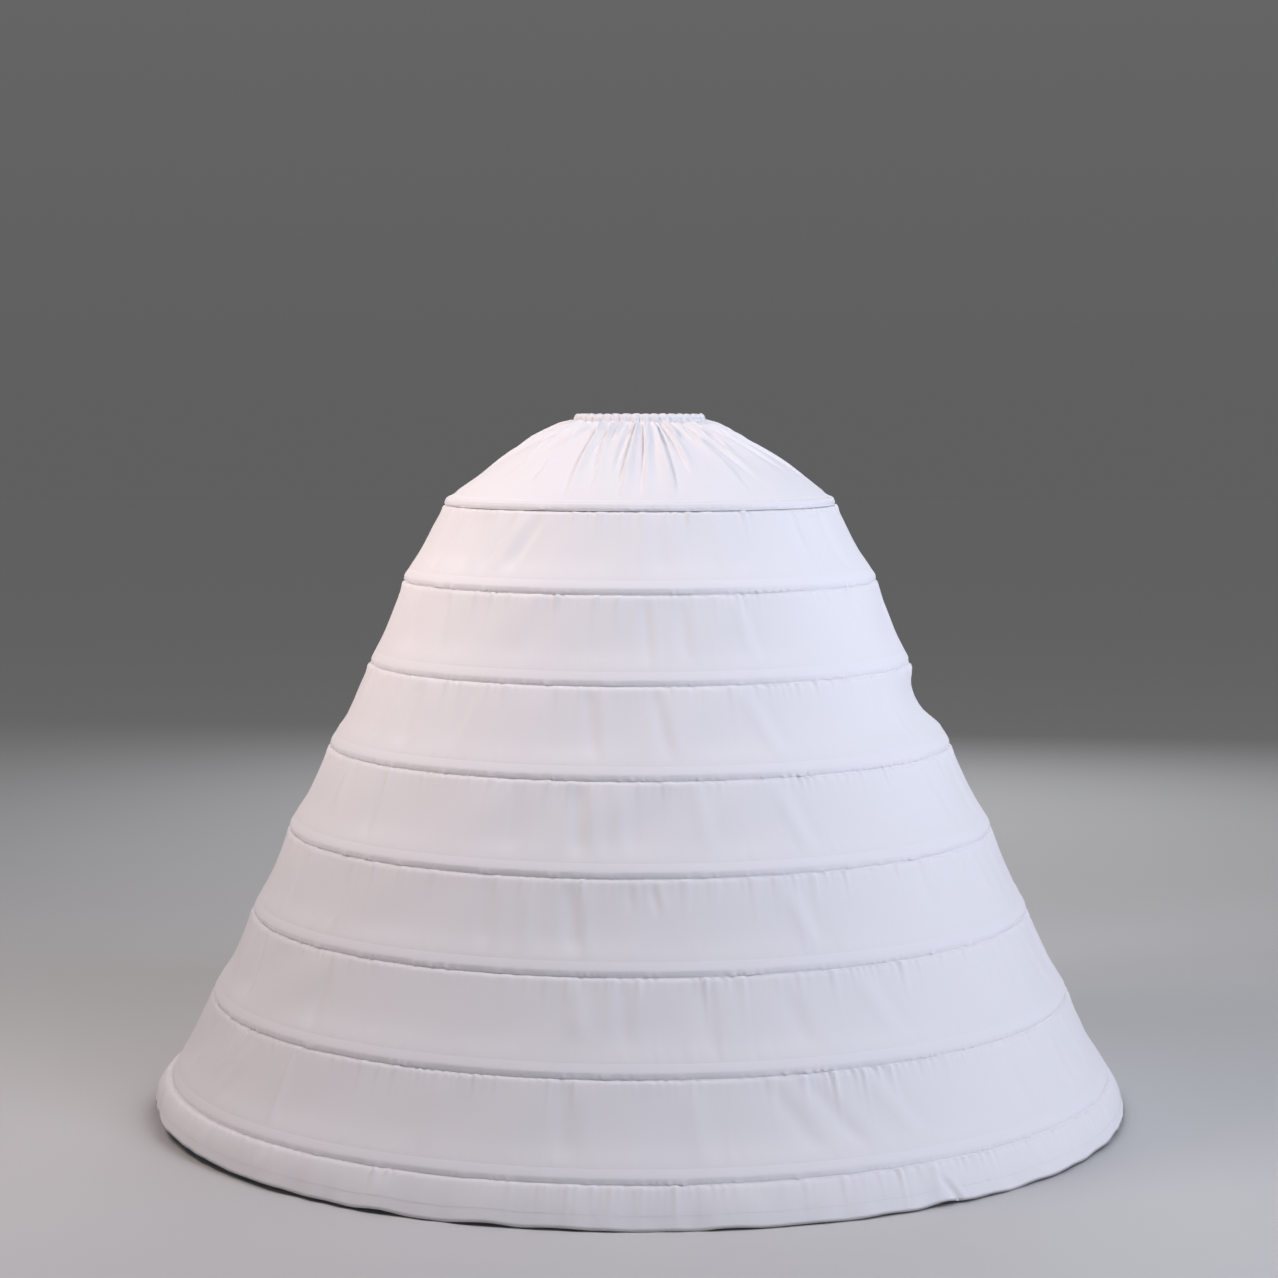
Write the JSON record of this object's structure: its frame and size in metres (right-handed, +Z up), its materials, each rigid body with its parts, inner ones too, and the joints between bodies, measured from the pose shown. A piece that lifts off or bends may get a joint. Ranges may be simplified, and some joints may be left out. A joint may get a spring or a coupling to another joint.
{
  "type": "crinoline cage",
  "caption": "White floor-length crinoline cage: flat steel hoops in cloth casings under a gathered yoke, with flared tiers between them and a plain hem flounce.",
  "frame": {"origin": "on the floor at the centre of the hem", "axes": "+Z up along the wearer's axis, -Y towards the wearer's front, +Y towards the back where the hoop ends meet"},
  "size_m": [1.6118, 1.6118, 1.15],
  "materials": {
    "white_taffeta": "plain-woven white taffeta with a soft sheen, slightly see-through",
    "casing_tape": "folded white taffeta tape, stitched along its lower edge",
    "hoop_steel": "flat spring steel with a white coating",
    "sleeve_metal": "crimped plated sleeve",
    "elastic": "white braided elastic"
  },
  "bodies": {
    "root": {"casing_1": "casing_tape", "casing_2": "casing_tape", "casing_3": "casing_tape", "casing_4": "casing_tape", "casing_5": "casing_tape", "casing_6": "casing_tape", "casing_7": "casing_tape", "casing_8": "casing_tape", "hem_flounce": "white_taffeta", "hoop_1": "hoop_steel", "hoop_2": "hoop_steel", "hoop_3": "hoop_steel", "hoop_4": "hoop_steel", "hoop_5": "hoop_steel", "hoop_6": "hoop_steel", "hoop_7": "hoop_steel", "hoop_8": "hoop_steel", "hoop_sleeve_1": "sleeve_metal", "hoop_sleeve_2": "sleeve_metal", "hoop_sleeve_3": "sleeve_metal", "hoop_sleeve_4": "sleeve_metal", "hoop_sleeve_5": "sleeve_metal", "hoop_sleeve_6": "sleeve_metal", "hoop_sleeve_7": "sleeve_metal", "hoop_sleeve_8": "sleeve_metal", "tier_1": "white_taffeta", "tier_2": "white_taffeta", "tier_3": "white_taffeta", "tier_4": "white_taffeta", "tier_5": "white_taffeta", "tier_6": "white_taffeta", "tier_7": "white_taffeta", "waist_elastic": "elastic", "yoke": "white_taffeta"}
  },
  "joints": []
}
